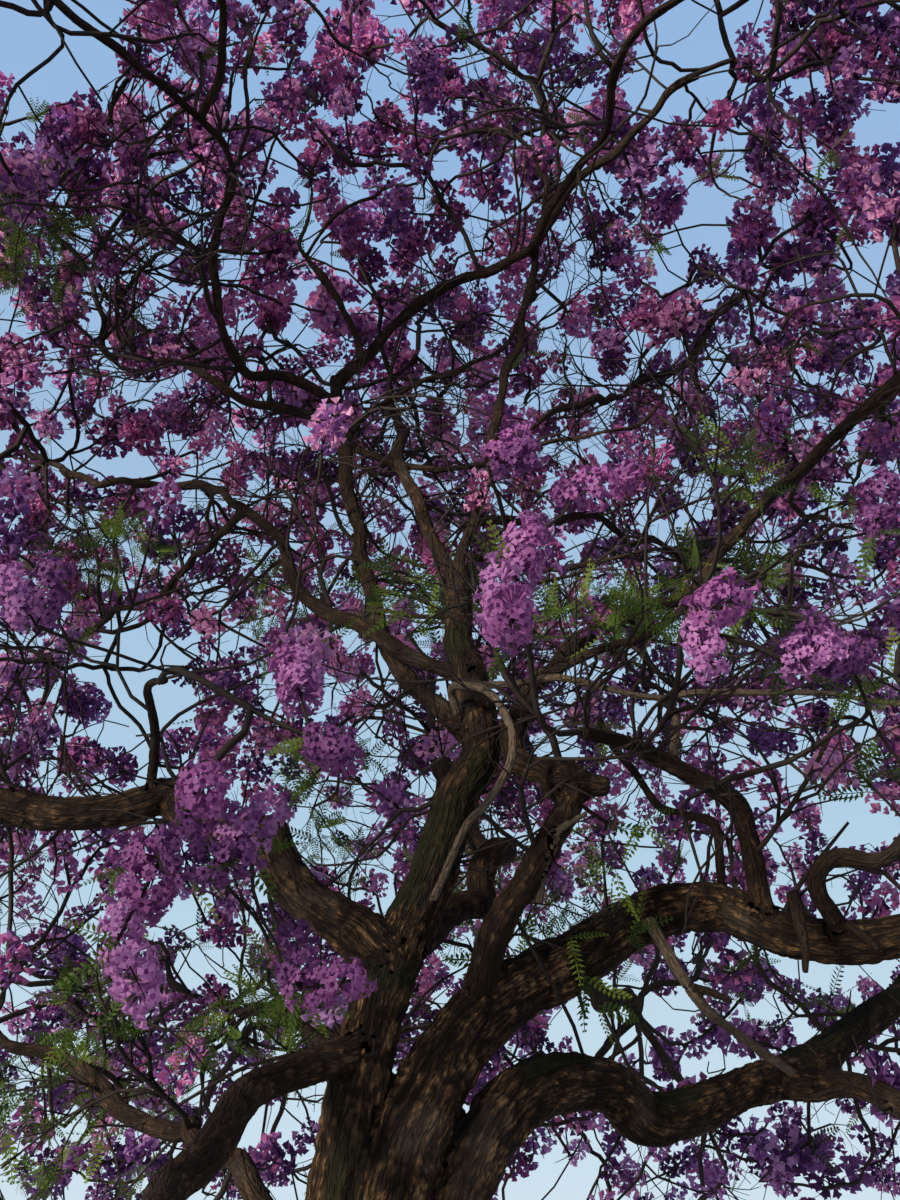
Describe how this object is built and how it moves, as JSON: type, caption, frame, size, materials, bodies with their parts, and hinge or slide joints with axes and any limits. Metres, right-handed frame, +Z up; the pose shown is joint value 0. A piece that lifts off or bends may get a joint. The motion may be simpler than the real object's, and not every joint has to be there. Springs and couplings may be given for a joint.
{
  "type": "jacaranda tree in bloom",
  "caption": "Open-grown jacaranda tree in full violet bloom: short flared trunk, low fork, crooked spreading boughs and a broad domed crown.",
  "frame": {"origin": "centre of the flat cut under the trunk, at ground level", "axes": "+Z up the trunk, +X to the right of the viewer who stands under the crown, +Y away from that viewer"},
  "size_m": [16.036, 14.7435, 12.5413],
  "materials": {
    "bark": "rough, deeply furrowed",
    "young_bark": "matt, lightly fissured",
    "foliage": "soft, matt"
  },
  "bodies": {
    "root": {"bough_arched": "young_bark", "bough_back": "young_bark", "bough_back_centre": "young_bark", "bough_back_left": "young_bark", "bough_back_low": "young_bark", "bough_far_left": "young_bark", "bough_front": "young_bark", "bough_front_left": "young_bark", "bough_front_low": "young_bark", "bough_front_right": "young_bark", "bough_high_back": "young_bark", "bough_high_far": "young_bark", "bough_high_right": "young_bark", "bough_left": "bark", "bough_left_back": "young_bark", "bough_left_front": "young_bark", "bough_left_mid": "young_bark", "bough_loop": "young_bark", "bough_low_fork": "young_bark", "bough_near_left": "young_bark", "bough_near_right": "young_bark", "bough_right_back": "young_bark", "bough_right_front": "young_bark", "bough_right_upper": "young_bark", "bough_top": "young_bark", "bough_twisted": "young_bark", "bough_upright": "young_bark", "mass_back": "foliage", "mass_back_left_low": "foliage", "mass_back_right": "foliage", "mass_back_right_low": "foliage", "mass_front": "foliage", "mass_front_left": "foliage", "mass_front_left_low": "foliage", "mass_front_right": "foliage", "mass_front_right_low": "foliage", "mass_high_back": "foliage", "mass_high_far": "foliage", "mass_high_left": "foliage", "mass_high_right": "foliage", "mass_left": "foliage", "mass_left_back": "foliage", "mass_left_back_low": "foliage", "mass_left_front": "foliage", "mass_left_upper": "foliage", "mass_near_centre": "foliage", "mass_near_left": "foliage", "mass_near_right": "foliage", "mass_right": "foliage", "mass_right_back_low": "foliage", "mass_right_front": "foliage", "mass_right_low": "foliage", "mass_right_upper": "foliage", "mass_top": "foliage", "stem_left": "bark", "stem_low": "bark", "stem_right": "bark", "trunk": "bark"}
  },
  "joints": []
}
